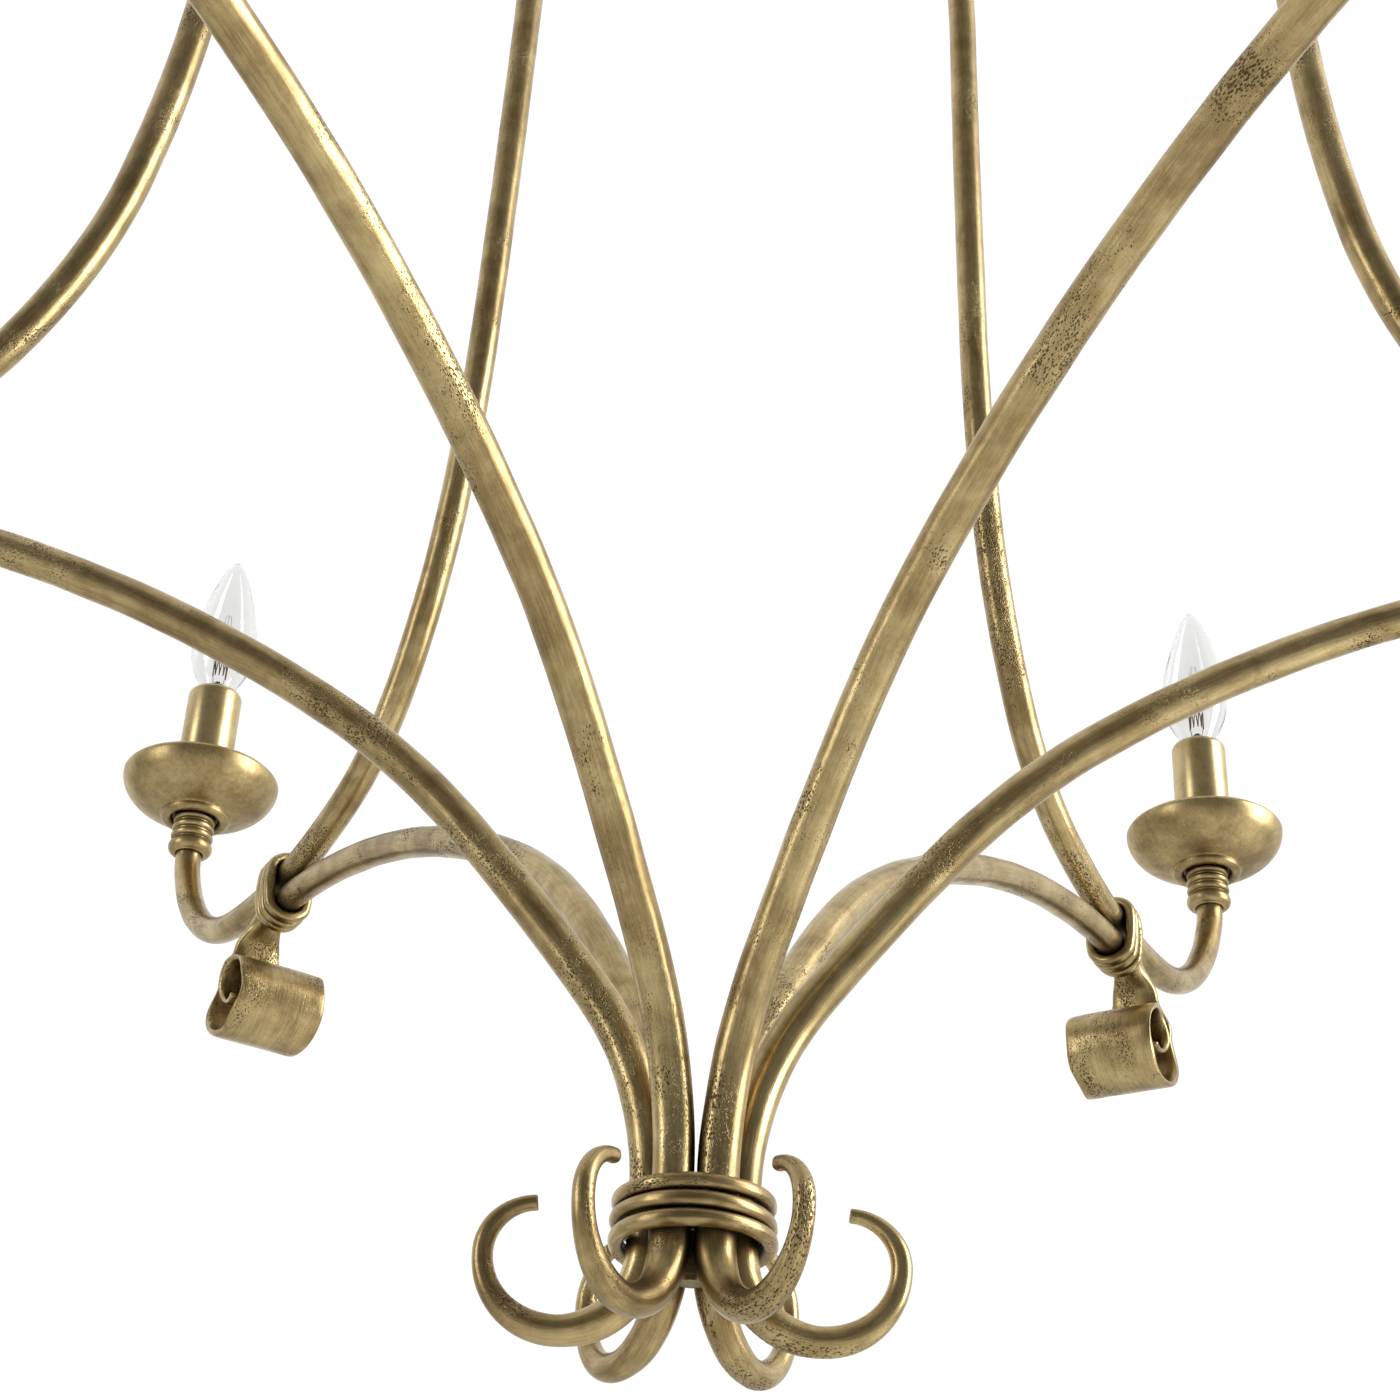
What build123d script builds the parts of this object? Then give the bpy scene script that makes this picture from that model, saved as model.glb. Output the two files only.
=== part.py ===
"""Six-arm candle chandelier of round brass rod, hung from a short chain.

Millimetres, +Z up. The origin is the ceiling mount: the middle of the plane
where the canopy and its crossbar meet the ceiling, so the part hangs below
Z = 0. Each arm and stay lies in a vertical plane through the Z axis, and its
shape is drawn there as a chain of tangent arcs in (radius, height), with
heights counted from the level where the arms start to spread.
"""
from build123d import *
import os
from math import atan2, cos, degrees, radians, sin

# Angles of the arms about Z: sixths of a turn, as far as hand work keeps to them
ARM_ANGLES = (-119.7, -60.4, -0.2, 59.9, 121.7, 178.9)
ARM_COUNT = len(ARM_ANGLES)

# Rods
ARM_R = 6.35
STAY_R = 6.6
STAY_BORE_R = 4.7
ROD_GAP = 0.1
ARM_WAIST = 13.4

# An arm from the bottom tie out to its end: a straight, then (radius of the
# bend, turn in degrees); every bend of the rise turns it down towards level.
TIE_Z = -14.0
ARM_STRAIGHT = 9.2
ARM_RISE = (
    (109.1, 36.5), (925.0, 4.3), (259.0, 16.0), (509.0, 10.0), (459.0, 19.0), (75.0, 11.0),
)
RIBBON_STRAIGHT = 8.0
RIBBON_CORNER = 0.98
RIBBON_BEND = (18.0, 83.2)
RIBBON_DROP = 28.0
RIBBON_ROLL = ((19.5, 90.0), (18.5, 90.0), (15.0, 90.0), (13.0, 70.0))
# Ribbon sections: share of the ribbon's length, width, thickness
RIBBON_SECTIONS = (
    (0.0, 12.7, 12.7),
    (0.10, 14.0, 8.6),
    (0.20, 18.0, 5.6),
    (0.34, 24.0, 3.8),
    (0.52, 34.0, 3.2),
    (0.70, 39.0, 3.0),
    (1.0, 40.0, 3.0),
)

# An arm from the bottom tie down into its scroll, which turns outward
SCROLL_STRAIGHT = 8.0
SCROLL_BENDS = ((25.5, 90.0), (22.8, 90.0), (15.5, 86.0))
# Scroll sections: share of the scroll's length, radius
SCROLL_SECTIONS = (
    (0.0, ARM_R), (0.1, 6.2), (0.31, 5.25), (0.45, 4.6), (0.78, 3.2), (1.0, 2.3),
)

# A stay from the arm tie up to the hub, (radius of the bend, turn), and from
# the arm tie out to its candle. A positive turn is to the left of the way.
STAY_UP = ((241.0, 14.0), (104.0, 37.4), (253.0, 20.7), (688.0, 8.1), (6342.0, 1.7))
STAY_DOME = (265.0, 50.0)
STAY_HUB_BEND_R = 92.0
STAY_HUB_RADIUS = 22.0
STAY_IN_HUB = 10.0
STAY_OUT = ((240.0, 13.7), (105.3, 59.0), (28.5, 24.1))

# Ties: three turns of round bar
TIE_BAR_R = 2.5
TIE_PITCH = 4.9
TIE_TURNS = 3
BOTTOM_BAR_R = 2.55
BOTTOM_PITCH = 6.0
TIE_GAP = 0.35
STUD_R = 4.0
STUD_NUT_R = 6.5
STUD_LENGTH = 18.0
FILLER_R = 6.9
FILLER_H = 8.0
FILLER_EASE = 0.8
STUD_NUT_H = 5.0
STUD_TIP = 1.5

# Candle: heights from the bottom of its neck
NECK_H = 22.0
NECK_TUBE_DEPTH = 7.0
NUT_R = 11.3
NUT_H = 7.5
NUT_EASE = 2.4
RIBS = 3
RIB_R = 10.0
RIB_GAP = 0.9
RIB_EASE = 1.6
GROOVE_R = 8.7
CUP_R = 40.5
CUP_WIDEST_Z = 21.4
CUP_UPPER_H = 7.5
CUP_RIM_ANGLE = 45.0
CUP_WALL = 1.6
CUP_OVAL_R = 8.0
CUP_FOOT_R = 18.0
FOOT_BAR_R = 2.4
FOOT_SINK = 1.15
SLEEVE_R = 14.2
SLEEVE_WALL = 1.1
SLEEVE_SEAT = 2.3
SLEEVE_TOP = 101.0
SLEEVE_MOUTH_R = 10.4
SLEEVE_SHOULDER = 3.2
HOLDER_R = 8.5
HOLDER_TOP = 88.0
HOLDER_BASE = 50.0
HOLDER_SEAT = 69.0
HOLDER_FLOOR = 6.0
WASHER_R = 9.0
WASHER_H = 3.0
STEM_R = 4.9
STEM_RISE = 1.0
WIRE_HOLE_R = 3.2
FIT_GAP = 0.1
CUT_OVER = 2.0
CAP_R = 5.95
CAP_FIT = 0.08
CAP_LENGTH = 16.5
CONTACT_H = 1.6
CONTACT_R = (2.0, 3.4)
CONTACT_LIFT = 1.2
CAP_BOTTOM = HOLDER_SEAT + CONTACT_LIFT + CONTACT_H
CAP_GROOVES = 4
CAP_PITCH = 2.54
CAP_FIRST_GROOVE = 3.0
GROOVE_BAR_R = 0.8
GROOVE_OUT = 0.35
BULB_TOP = 183.0
GLASS_NECK_R = 5.6
# The lamp's outline over its sleeve: share of the bulb's radius, height
GLASS_SIDE = ((0.60, 2.0), (1.0, 25.0), (0.76, 53.0))
GLASS_TIP = (0.26, 4.5)
BULB_R = 17.0
GLASS_WALL = 0.8

# Wiring: one lead pair for each candle, drawn as one round jacket
WIRE_R = 2.4
LEAD_IN_CHAMBER = 5.0

# Hub, chain and canopy
HUB_R = 35.0
HUB_FLOOR = 12.0
HUB_STEP = 3.0
HUB_ROOF_R = 10.0
HUB_CEILING = 23.0
# The hub's turned outline: (radius, height)
HUB_OUTLINE = (
    (0, 0), (33.0, 0), (HUB_R, 2.0), (HUB_R, 6.0), (32.0, 8.5), (32.0, 16.0), (27.0, 23.0),
    (18.0, 27.0), (11.0, 30.0), (11.0, 32.5), (15.5, 36.0), (15.5, 41.0), (11.0, 44.0),
    (7.5, 47.0), (7.5, 51.0), (0, 51.0),
)
INLET_Z = 38.5
INLET_R = 3.0
CHAMBER_MARGIN = 0.8
EYE_BAR_R = 4.0
EYE_R = 13.0
EYE_Z = 66.0
LINK_BAR_R = 2.5
LINK_BOW_R = 10.5
LINK_STRAIGHT = 22.0
LINK_COUNT = 3
LINK_GAP = 0.3
LOOP_BAR_R = 3.5
LOOP_R = 12.5
COLLAR_R = 9.0
COLLAR_H = 8.0
COLLAR_EASE = 1.5
CANOPY_R = 68.0
CANOPY_H = 26.0
CANOPY_WALL = 1.3
PAN_SHOULDER = 16.0
BAR_LENGTH = 112.0
BAR_WIDTH = 16.0
BAR_THICK = 2.4
BAR_CORNER = 5.0
BOX_SCREW_SPACING = 88.9
BOX_SCREW_HOLE_R = 2.3
CANOPY_SCREW_SPACING = 66.0
CANOPY_SCREW_R = 2.0
SCREW_KNOB_R = 5.0
NIPPLE_R = 4.9
NIPPLE_DROP = 1.0
LOCKNUT_R = 8.5
LOCKNUT_H = 3.0
THREAD_GAP = 0.02


def turn_arc(point, heading, bend_radius, turn):
    """One arc in the (radius, height) plane: its middle, end and new heading."""
    side = 1.0 if turn > 0 else -1.0
    centre = (
        point[0] - side * bend_radius * sin(radians(heading)),
        point[1] + side * bend_radius * cos(radians(heading)),
    )

    def on_arc(angle):
        spoke = heading + angle - side * 90.0
        return (
            centre[0] + bend_radius * cos(radians(spoke)),
            centre[1] + bend_radius * sin(radians(spoke)),
        )

    return on_arc(turn / 2.0), on_arc(turn), heading + turn


class Route:
    """A chain of straights and tangent arcs in the (radius, height) plane."""

    def __init__(self, start, heading):
        self.point = start
        self.heading = heading
        self.edges = []
        self.length = 0.0
        self.stations = [(0.0, start, heading)]

    def note(self, length):
        self.length += length
        self.stations.append((self.length, self.point, self.heading))

    def straight(self, length):
        end = (
            self.point[0] + length * cos(radians(self.heading)),
            self.point[1] + length * sin(radians(self.heading)),
        )
        self.edges.append(Line(flat(self.point), flat(end)))
        self.point = end
        self.note(length)
        return self

    def bend(self, bend_radius, turn):
        middle, end, heading = turn_arc(self.point, self.heading, bend_radius, turn)
        self.edges.append(ThreePointArc(flat(self.point), flat(middle), flat(end)))
        self.point = end
        self.heading = heading
        self.note(bend_radius * radians(abs(turn)))
        return self

    def wire(self):
        return Wire(self.edges)


def flat(point):
    """A (radius, height) point as a point of the XZ plane."""
    return (point[0], 0.0, point[1])


def place(shape, index):
    """A shape drawn in the XZ plane, turned to the arm's own angle."""
    return shape.rotate(Axis.Z, ARM_ANGLES[index])


def section_plane(point, heading):
    """The plane across a route, with its X axis along the object's tangent."""
    way = Vector(cos(radians(heading)), 0, sin(radians(heading)))
    return Plane(origin=flat(point), x_dir=Vector(0, 1, 0), z_dir=way)


def round_bar(route, bar_radius):
    """A bar of one radius along a route."""
    plane = section_plane(route.stations[0][1], route.stations[0][2])
    return sweep(plane * Circle(bar_radius), path=route.wire())


def arm_rise():
    """The arm's round stretch, from the bottom tie to the arm tie."""
    route = Route((ARM_WAIST, TIE_Z), 90.0)
    route.straight(ARM_STRAIGHT)
    for bend_radius, turn in ARM_RISE:
        route.bend(bend_radius, -turn)
    return route


def ribbon_route(rise):
    route = Route(rise.point, rise.heading)
    route.straight(RIBBON_STRAIGHT)
    route.bend(RIBBON_BEND[0], -RIBBON_BEND[1])
    route.straight(RIBBON_DROP)
    for bend_radius, turn in RIBBON_ROLL:
        route.bend(bend_radius, -turn)
    return route


def scroll_route():
    route = Route((ARM_WAIST, TIE_Z), -90.0)
    route.straight(SCROLL_STRAIGHT)
    for bend_radius, turn in SCROLL_BENDS:
        route.bend(bend_radius, turn)
    return route


def point_along(route, share):
    """Where a share of a route's length falls, and the heading there."""
    wire = route.wire()
    point = wire @ share
    way = wire % share
    return (point.X, point.Z), degrees(atan2(way.Z, way.X))


def ribbon(route):
    """The forged end: a round bar that flattens, widens and rolls inward."""
    sections = []
    for share, width, thick in RIBBON_SECTIONS:
        point, heading = point_along(route, share)
        corner = RIBBON_CORNER * min(width, thick) / 2.0
        outline = RectangleRounded(width, thick, corner)
        sections.append(section_plane(point, heading) * outline)
    return sweep(sections, path=route.wire(), multisection=True)


def scroll(route):
    """The tapered scroll at the arm's foot."""
    sections = []
    for share, radius in SCROLL_SECTIONS:
        point, heading = point_along(route, share)
        sections.append(section_plane(point, heading) * Circle(radius))
    return sweep(sections, path=route.wire(), multisection=True)


def make_arm(rise):
    return (round_bar(rise, ARM_R) + ribbon(ribbon_route(rise)) + scroll(scroll_route())).solid()


def tie_point(rise):
    """The stay's centre where it crosses the arm inside the arm tie."""
    offset = ARM_R + STAY_R + ROD_GAP
    normal = rise.heading + 90.0
    return (
        rise.point[0] + offset * cos(radians(normal)),
        rise.point[1] + offset * sin(radians(normal)),
    )


def stay_route(rise):
    """The stay from the hub, down past the arm tie, and out to the candle."""
    tie = tie_point(rise)
    up = Route(tie, rise.heading + 180.0)
    for bend_radius, turn in STAY_UP:
        up.bend(bend_radius, -turn)
    up.bend(STAY_DOME[0], STAY_DOME[1])
    lean = up.heading - 90.0
    bend_width = STAY_HUB_BEND_R * (1.0 - cos(radians(lean)))
    up.straight((up.point[0] - STAY_HUB_RADIUS - bend_width) / sin(radians(lean)))
    up.bend(STAY_HUB_BEND_R, -lean)
    up.straight(STAY_IN_HUB)
    down = Route(up.point, -90.0)
    down.straight(STAY_IN_HUB)
    down.bend(STAY_HUB_BEND_R, lean)
    down.straight(up.stations[-3][0] - up.stations[-4][0])
    down.bend(STAY_DOME[0], -STAY_DOME[1])
    for bend_radius, turn in reversed(STAY_UP):
        down.bend(bend_radius, turn)
    for bend_radius, turn in STAY_OUT:
        down.bend(bend_radius, turn)
    down.straight(NECK_TUBE_DEPTH)
    return down


def spin(outline):
    """A solid of revolution about Z from straights through (radius, height)."""
    corners = [(radius, 0, height) for radius, height in outline]
    return revolve(make_face(Polyline(*corners, close=True)), Axis.Z)


def make_stay(route):
    return round_bar(route, STAY_R) - round_bar(route, STAY_BORE_R)


def loop_of_bar(height, width, bar_radius):
    """A closed turn of round bar with straight sides and round ends, in XY."""
    outline = SlotOverall(height, width) if height > width else Circle(width / 2.0)
    path = outline.wire()
    start = path @ 0
    along = path % 0
    return sweep(Plane(origin=start, z_dir=along) * Circle(bar_radius), path=path)


def make_arm_tie(rise):
    """Three turns of bar round the arm and the stay, square to both."""
    width = 2 * (STAY_R + TIE_GAP + TIE_BAR_R)
    height = width + ARM_R + STAY_R + ROD_GAP
    turns = []
    for turn in range(TIE_TURNS):
        level = (turn - (TIE_TURNS - 1) / 2.0) * TIE_PITCH
        turns.append(Pos(0, 0, level) * loop_of_bar(height, width, TIE_BAR_R))
    tie = turns[0] + turns[1] + turns[2]
    offset = (ARM_R + STAY_R + ROD_GAP) / 2.0
    normal = rise.heading + 90.0
    middle = (
        rise.point[0] + offset * cos(radians(normal)),
        rise.point[1] + offset * sin(radians(normal)),
    )
    up = Vector(cos(radians(normal)), 0, sin(radians(normal)))
    way = Vector(cos(radians(rise.heading)), 0, sin(radians(rise.heading)))
    return Plane(origin=flat(middle), x_dir=up, z_dir=way) * tie


def make_bottom_tie():
    ring_radius = ARM_WAIST + ARM_R + TIE_GAP + BOTTOM_BAR_R
    rings = []
    for turn in range(TIE_TURNS):
        level = TIE_Z + (turn - (TIE_TURNS - 1) / 2.0) * BOTTOM_PITCH
        rings.append(Pos(0, 0, level) * Torus(ring_radius, BOTTOM_BAR_R))
    return rings[0] + rings[1] + rings[2]


def make_core_stud():
    """The filler disc, stud and nut in the middle of the six rods."""
    filler = fillet(Cylinder(FILLER_R, FILLER_H).edges(), FILLER_EASE)
    stud = Pos(0, 0, -STUD_LENGTH / 2.0) * Cylinder(STUD_R, STUD_LENGTH)
    nut = Pos(0, 0, STUD_TIP - STUD_LENGTH) * RegularPolygon(STUD_NUT_R, 6)
    nut = extrude(nut, STUD_NUT_H)
    return Pos(0, 0, TIE_Z) * (filler + stud + nut)


def make_neck():
    """The turned neck: a rounded nut, three ribs and a socket for the tube."""
    body = fillet((Pos(0, 0, NUT_H / 2.0) * Cylinder(NUT_R, NUT_H)).edges(), NUT_EASE)
    body += Pos(0, 0, NECK_H / 2.0) * Cylinder(GROOVE_R, NECK_H)
    rib_pitch = (NECK_H - NUT_H) / RIBS
    for rib in range(RIBS):
        ring = Cylinder(RIB_R, rib_pitch - RIB_GAP)
        body += Pos(0, 0, NUT_H + (rib + 0.5) * rib_pitch) * fillet(ring.edges(), RIB_EASE)
    body -= Pos(0, 0, NECK_TUBE_DEPTH / 2.0) * Cylinder(STAY_R + FIT_GAP, NECK_TUBE_DEPTH)
    return body - Pos(0, 0, NECK_H / 2.0) * Cylinder(STEM_R + FIT_GAP, NECK_H)


def cup_wall(shrink):
    """The cup's side, a deep oval quarter under a shallow one, moved in by a wall."""
    wide = CUP_R - shrink - CUP_OVAL_R
    points = []
    for angle in (-90.0, -67.5, -45.0, -22.5, 0.0, CUP_RIM_ANGLE / 2.0, CUP_RIM_ANGLE):
        turn = radians(angle)
        half = (CUP_WIDEST_Z if angle < 0.0 else CUP_UPPER_H) - shrink
        points.append((CUP_OVAL_R + wide * cos(turn), 0, CUP_WIDEST_Z + half * sin(turn)))
    rim = radians(CUP_RIM_ANGLE)
    return Spline(*points, tangents=((1, 0, 0), (-wide * sin(rim), 0, half * cos(rim))))


def make_cup():
    """The spun cup: a foot ring, a wide belly and a rim that turns inward."""
    outer = cup_wall(0.0)
    inner = cup_wall(CUP_WALL)
    hole = STEM_R + FIT_GAP
    outline = [
        Line((hole, 0, 0), outer @ 0),
        outer,
        Line(outer @ 1, inner @ 1),
        inner,
        Line(inner @ 0, (hole, 0, CUP_WALL)),
        Line((hole, 0, CUP_WALL), (hole, 0, 0)),
    ]
    bowl = revolve(make_face(Wire(outline)), Axis.Z)
    return bowl + foot_ring()


def foot_ring():
    """The bead that hangs under the cup's foot, its top sunk into the floor."""
    bead = Torus(CUP_FOOT_R - FOOT_BAR_R, FOOT_BAR_R)
    above = Pos(0, 0, FOOT_SINK + FOOT_BAR_R / 2.0) * Cylinder(CUP_FOOT_R, FOOT_BAR_R)
    return bead - above


def make_sleeve():
    """The candle sleeve: a tube with a rounded shoulder and an open mouth."""
    bottom = NECK_H + SLEEVE_SEAT
    shell = Pos(0, 0, (bottom + SLEEVE_TOP) / 2.0) * Cylinder(SLEEVE_R, SLEEVE_TOP - bottom)
    shell = fillet(shell.edges().group_by(Axis.Z)[-1], SLEEVE_SHOULDER)
    core_top = SLEEVE_TOP - SLEEVE_WALL
    core = Pos(0, 0, (bottom + core_top) / 2.0)
    core = core * Cylinder(SLEEVE_R - SLEEVE_WALL, core_top - bottom)
    core = fillet(core.edges().group_by(Axis.Z)[-1], SLEEVE_SHOULDER - SLEEVE_WALL)
    return shell - core - Pos(0, 0, SLEEVE_TOP) * Cylinder(SLEEVE_MOUTH_R, 4 * SLEEVE_SHOULDER)


def make_holder():
    """The lampholder on its hollow stem, with the washer that clamps the cup."""
    stem_bottom = NECK_TUBE_DEPTH + STEM_RISE
    floor = HOLDER_SEAT - HOLDER_FLOOR
    washer_level = NECK_H + CUP_WALL + FIT_GAP
    return spin((
        (WIRE_HOLE_R, stem_bottom),
        (STEM_R, stem_bottom),
        (STEM_R, washer_level),
        (WASHER_R, washer_level),
        (WASHER_R, washer_level + WASHER_H),
        (STEM_R, washer_level + WASHER_H),
        (STEM_R, HOLDER_BASE),
        (HOLDER_R, HOLDER_BASE),
        (HOLDER_R, HOLDER_TOP),
        (CAP_R + CAP_FIT, HOLDER_TOP),
        (CAP_R + CAP_FIT, HOLDER_SEAT),
        (0, HOLDER_SEAT),
        (0, floor),
        (WIRE_HOLE_R, floor),
    ))


def make_cap():
    """The lamp's screw cap: a shell with rolled grooves, over its contact."""
    core = Pos(0, 0, CAP_BOTTOM + CAP_LENGTH / 2.0) * Cylinder(CAP_R, CAP_LENGTH)
    for groove in range(CAP_GROOVES):
        level = CAP_BOTTOM + CAP_FIRST_GROOVE + groove * CAP_PITCH
        core -= Pos(0, 0, level) * Torus(CAP_R + GROOVE_OUT, GROOVE_BAR_R)
    contact = Pos(0, 0, CAP_BOTTOM - CONTACT_H / 2.0) * Cone(*CONTACT_R, CONTACT_H)
    return core + contact


def glass_side(shrink):
    """The torpedo outline of the lamp, from its neck up to its tip."""
    tip_share, tip_drop = GLASS_TIP
    points = [(GLASS_NECK_R - shrink, 0, CAP_BOTTOM + CAP_LENGTH)]
    for share, height in GLASS_SIDE:
        points.append((BULB_R * share - shrink, 0, SLEEVE_TOP + height))
    tip_z = BULB_TOP - tip_drop - shrink * 0.7
    points.append((BULB_R * tip_share - shrink * 0.6, 0, tip_z))
    points.append((0, 0, BULB_TOP - shrink))
    return Spline(*points, tangents=((0.15, 0, 1), (-1, 0, -0.05)))


def make_glass():
    """The lamp's thin glass envelope, open at its neck over the cap."""
    outer = glass_side(0.0)
    inner = glass_side(GLASS_WALL)
    outline = [outer, Line(outer @ 1, inner @ 1), inner, Line(inner @ 0, outer @ 0)]
    return revolve(make_face(Wire(outline)), Axis.Z)


def make_lead():
    """One lead, from the hub's chamber down the stay's bore to its holder."""
    stay_top = STAY.stations[0][1]
    route = Route((stay_top[0], stay_top[1] + LEAD_IN_CHAMBER), -90.0)
    route.straight(LEAD_IN_CHAMBER)
    route.edges += STAY.edges
    route.point = STAY.point
    route.heading = 90.0
    route.straight(HOLDER_SEAT - HOLDER_FLOOR - NECK_TUBE_DEPTH - STEM_RISE)
    return round_bar(route, WIRE_R)


def make_hub():
    """The hub: six sockets, a wiring chamber, a turned neck and an eye."""
    hub = spin(HUB_OUTLINE)
    chamber_r = STAY_HUB_RADIUS + STAY_BORE_R + CHAMBER_MARGIN
    hub -= spin((
        (0, HUB_FLOOR),
        (chamber_r, HUB_FLOOR),
        (chamber_r, HUB_FLOOR + HUB_STEP),
        (HUB_ROOF_R, HUB_CEILING),
        (0, HUB_CEILING),
    ))
    for index in range(ARM_COUNT):
        socket = Cylinder(STAY_R + FIT_GAP, STAY_IN_HUB)
        hub -= place(Pos(STAY_HUB_RADIUS, 0, STAY_IN_HUB / 2.0) * socket, index)
        passage = Cylinder(STAY_BORE_R, HUB_FLOOR + CUT_OVER)
        hub -= place(Pos(STAY_HUB_RADIUS, 0, HUB_FLOOR / 2.0) * passage, index)
    rise = INLET_Z + INLET_R + 1.0 - HUB_CEILING
    riser = Cylinder(WIRE_HOLE_R, rise + CUT_OVER)
    hub -= Pos(0, 0, HUB_CEILING - CUT_OVER / 2.0 + rise / 2.0) * riser
    inlet = Rot(90, 0, 0) * Cylinder(INLET_R, HUB_R - CUT_OVER)
    hub -= Pos(0, -HUB_R / 2.0, INLET_Z) * inlet
    eye = Pos(0, 0, EYE_Z) * Rot(90, 0, 0) * Torus(EYE_R, EYE_BAR_R)
    return hub + eye


def make_link():
    """A chain link in the XZ plane, about its own middle."""
    height = LINK_STRAIGHT + 2 * LINK_BOW_R
    return Rot(90, 0, 0) * Rot(0, 0, 90) * loop_of_bar(height, 2 * LINK_BOW_R, LINK_BAR_R)


def make_canopy_loop(loop_z):
    """The loop under the canopy, on its collar and threaded nipple."""
    loop = Pos(0, 0, loop_z) * Rot(90, 0, 0) * Torus(LOOP_R, LOOP_BAR_R)
    collar_bottom = loop_z + LOOP_R
    collar_h = -CANOPY_H - FIT_GAP - collar_bottom
    collar = Pos(0, 0, collar_bottom + collar_h / 2.0) * Cylinder(COLLAR_R, collar_h)
    collar = fillet(collar.edges(), COLLAR_EASE)
    nipple_h = -collar_bottom - NIPPLE_DROP
    nipple = Pos(0, 0, collar_bottom + nipple_h / 2.0) * Cylinder(NIPPLE_R, nipple_h)
    return loop + collar + nipple


def make_canopy():
    """The ceiling pan: a flat bottom, a round shoulder and a straight rim."""
    pan = Pos(0, 0, -CANOPY_H / 2.0) * Cylinder(CANOPY_R, CANOPY_H)
    pan = fillet(pan.edges().group_by(Axis.Z)[0], PAN_SHOULDER)
    inside_h = CANOPY_H - CANOPY_WALL
    inside = Pos(0, 0, -inside_h / 2.0) * Cylinder(CANOPY_R - CANOPY_WALL, inside_h)
    pan -= fillet(inside.edges().group_by(Axis.Z)[0], PAN_SHOULDER - CANOPY_WALL)
    pan -= Pos(0, 0, -CANOPY_H) * Cylinder(NIPPLE_R + FIT_GAP, 3 * CANOPY_WALL)
    for side in (-1, 1):
        hole = Cylinder(CANOPY_SCREW_R + FIT_GAP, 3 * CANOPY_WALL)
        pan -= Pos(side * CANOPY_SCREW_SPACING / 2.0, 0, -CANOPY_H) * hole
    return pan


def make_crossbar():
    """The strap that the outlet box holds, with its screw and nipple holes."""
    bar = Pos(0, 0, -BAR_THICK / 2.0) * Box(BAR_LENGTH, BAR_WIDTH, BAR_THICK)
    bar = fillet(bar.edges().filter_by(Axis.Z), BAR_CORNER)
    bar -= Cylinder(NIPPLE_R + FIT_GAP, 3 * BAR_THICK)
    for side in (-1, 1):
        box_hole = Cylinder(BOX_SCREW_HOLE_R, 3 * BAR_THICK)
        bar -= Pos(side * BOX_SCREW_SPACING / 2.0, 0, 0) * box_hole
        canopy_hole = Cylinder(CANOPY_SCREW_R + FIT_GAP, 3 * BAR_THICK)
        bar -= Pos(side * CANOPY_SCREW_SPACING / 2.0, 0, 0) * canopy_hole
    return bar


def make_canopy_fixings():
    """Two canopy screws with round knobs, and the nipple's locknut."""
    pieces = []
    for side in (-1, 1):
        x = side * CANOPY_SCREW_SPACING / 2.0
        stem_h = CANOPY_H + SCREW_KNOB_R - NIPPLE_DROP
        stem = Pos(x, 0, -NIPPLE_DROP - stem_h / 2.0) * Cylinder(CANOPY_SCREW_R, stem_h)
        knob_z = -CANOPY_H - SCREW_KNOB_R
        pieces.append(stem + Pos(x, 0, knob_z) * Sphere(SCREW_KNOB_R))
    nut_bottom = -BAR_THICK - FIT_GAP - LOCKNUT_H
    nut = extrude(Pos(0, 0, nut_bottom) * RegularPolygon(LOCKNUT_R, 6), LOCKNUT_H)
    bore = Cylinder(NIPPLE_R + THREAD_GAP, 4 * LOCKNUT_H)
    pieces.append(nut - Pos(0, 0, -BAR_THICK) * bore)
    return Compound(children=pieces)


def save(name, shape):
    """Write one node."""
    export_step(shape, "parts/" + name + ".step")


RISE = arm_rise()
STAY = stay_route(RISE)
CANDLE_R = STAY.point[0]
NECK_Z = STAY.point[1] - NECK_TUBE_DEPTH
HUB_Z = STAY.stations[0][1][1] - STAY_IN_HUB

# Heights of the hanging gear, each piece over the one that hangs from it
EYE_TOP = HUB_Z + EYE_Z + EYE_R
LINK_TALL = LINK_STRAIGHT + 2 * LINK_BOW_R
LINK_ZS = []
bottom_bar = EYE_TOP - EYE_BAR_R - LINK_BAR_R - LINK_GAP
for link in range(LINK_COUNT):
    LINK_ZS.append(bottom_bar + LINK_TALL / 2.0)
    bottom_bar += LINK_TALL - 2 * LINK_BAR_R - LINK_GAP
LOOP_BOTTOM = LINK_ZS[-1] + LINK_TALL / 2.0 - LINK_BAR_R - LOOP_BAR_R - LINK_GAP
CEILING_Z = LOOP_BOTTOM + 2 * LOOP_R + COLLAR_H + CANOPY_H
DROP = Pos(0, 0, -CEILING_Z)

os.makedirs("parts", exist_ok=True)

arm = DROP * make_arm(RISE)
stay = DROP * make_stay(STAY)
arm_tie = DROP * make_arm_tie(RISE)
at_candle = DROP * Pos(CANDLE_R, 0, NECK_Z)
branch_parts = {
    "arm": arm,
    "stay": stay,
    "arm_tie": arm_tie,
    "neck": at_candle * make_neck(),
    "cup": at_candle * Pos(0, 0, NECK_H) * make_cup(),
    "sleeve": at_candle * make_sleeve(),
    "bulb_cap": at_candle * make_cap(),
    "bulb_glass": at_candle * make_glass(),
}
for name, shape in branch_parts.items():
    for index in range(ARM_COUNT):
        save(name + "_" + str(index + 1), place(shape, index))

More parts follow.
